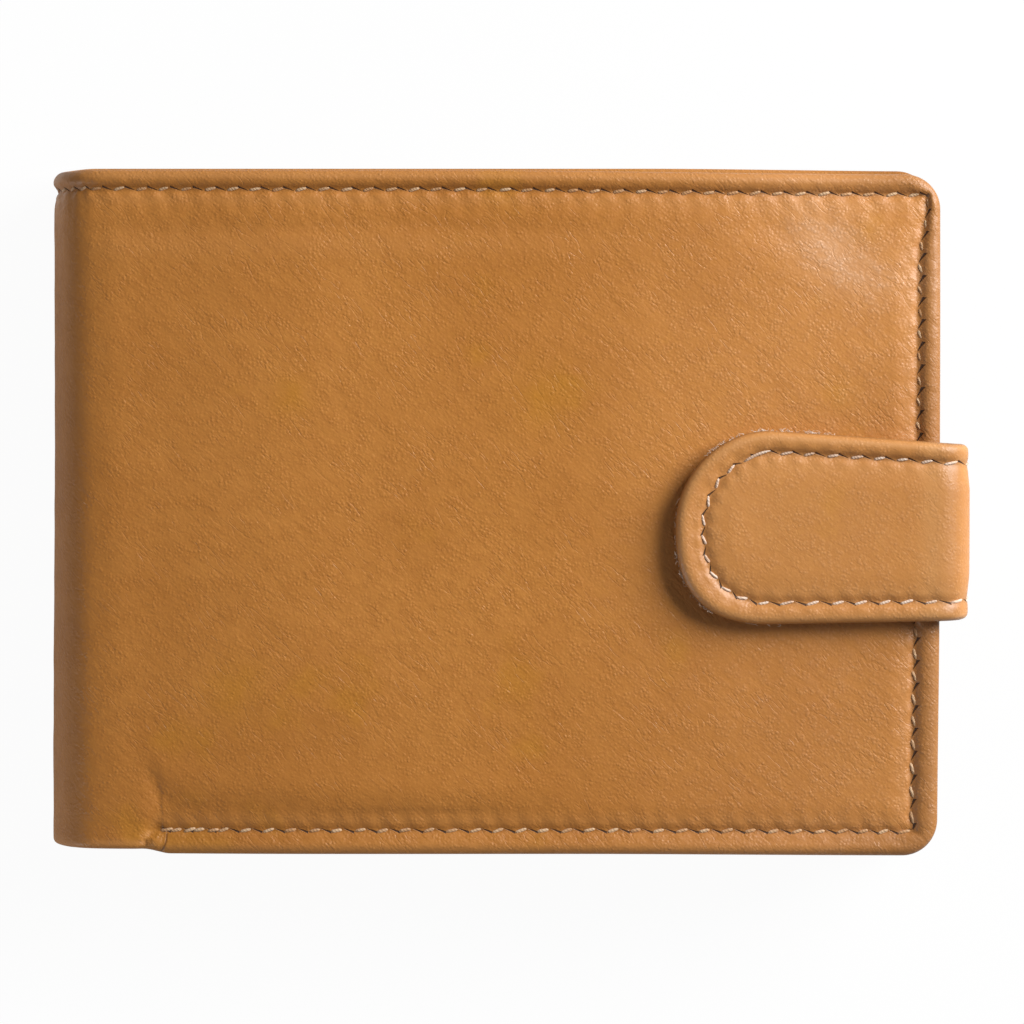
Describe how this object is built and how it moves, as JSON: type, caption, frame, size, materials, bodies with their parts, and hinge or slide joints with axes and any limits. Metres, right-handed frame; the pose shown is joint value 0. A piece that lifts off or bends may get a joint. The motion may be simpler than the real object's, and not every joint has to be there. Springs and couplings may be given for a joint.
{
  "type": "bifold wallet",
  "caption": "Leather bifold wallet with note compartments, card slots, a centre window leaf and a snap strap round its open edge.",
  "frame": {"origin": "centre of the back cover's outer face, on which the closed wallet lies", "axes": "+X towards the open edge with the strap, +Y towards the mouth of the note compartments, +Z out of the front cover"},
  "size_m": [0.1208, 0.0904, 0.0223],
  "materials": {
    "cover_leather": "smooth tan leather with a fine grain, satin",
    "strap_leather": "smooth tan leather with a fine grain, satin",
    "inner_leather": "smooth tan leather, satin",
    "cloth": "brown woven lining",
    "thread": "beige waxed thread",
    "snap_metal": "aged brass",
    "clear_film": "clear flexible film"
  },
  "bodies": {
    "back_half": {"back_cover": "cover_leather", "back_lining": "cloth", "back_note_divider": "cloth", "back_inner_panel": "inner_leather", "back_card_slot_1": "inner_leather", "back_card_slot_2": "inner_leather", "back_card_slot_3": "inner_leather", "back_card_slot_4": "inner_leather", "leaf_tongue": "inner_leather", "strap_anchor": "strap_leather", "back_stitching": "thread"},
    "spine": {"spine_cover": "cover_leather", "spine_lining": "cloth", "spine_note_divider": "cloth", "spine_inner_panel": "inner_leather", "spine_stitching": "thread"},
    "front_half": {"front_cover": "cover_leather", "front_lining": "cloth", "front_note_divider": "cloth", "front_inner_panel": "inner_leather", "front_card_slot_1": "inner_leather", "front_card_slot_2": "inner_leather", "front_card_slot_3": "inner_leather", "front_stitching": "thread", "snap_stud": "snap_metal", "snap_post": "snap_metal"},
    "centre_leaf": {"leaf_panel": "inner_leather", "leaf_card_slot": "inner_leather", "leaf_window": "clear_film", "leaf_frame": "inner_leather", "leaf_stitching": "thread"},
    "strap_wrap": {"strap_wrap_outer": "strap_leather", "strap_wrap_inner": "strap_leather", "strap_wrap_stitching": "thread"},
    "strap_tip": {"strap_tip_outer": "strap_leather", "strap_tip_inner": "strap_leather", "strap_tip_stitching": "thread", "snap_socket": "snap_metal", "snap_cap": "snap_metal"}
  },
  "joints": [
    {"name": "spine_fold_back", "type": "hinge", "parent": "back_half", "child": "spine", "pos_m": [-0.05743, 0, 0.00107], "axis": [0, -1, 0], "range_deg": [0, 90]},
    {"name": "spine_fold_front", "type": "hinge", "parent": "spine", "child": "front_half", "pos_m": [-0.05743, 0, 0.01893], "axis": [0, -1, 0], "range_deg": [0, 90]},
    {"name": "leaf_fold", "type": "hinge", "parent": "back_half", "child": "centre_leaf", "pos_m": [-0.048, 0, 0.0049], "axis": [0, -1, 0], "range_deg": [0, 90]},
    {"name": "strap_swing", "type": "hinge", "parent": "back_half", "child": "strap_wrap", "pos_m": [0.0607, -0.003, 0.0029], "axis": [0, 1, 0], "range_deg": [0, 90], "deforming": ["strap_wrap_outer", "strap_wrap_inner", "strap_wrap_stitching", "strap_tip_outer", "strap_tip_inner", "strap_tip_stitching", "snap_socket", "snap_cap"]},
    {"name": "strap_peel", "type": "hinge", "parent": "strap_wrap", "child": "strap_tip", "pos_m": [0.0607, -0.003, 0.0207], "axis": [0, 1, 0], "range_deg": [0, 90]}
  ],
  "couplings": [
    {"joint": "spine_fold_front", "follows": "spine_fold_back", "ratio": 1},
    {"joint": "leaf_fold", "follows": "spine_fold_back", "ratio": 1},
    {"joint": "strap_peel", "follows": "strap_swing", "ratio": 1}
  ]
}
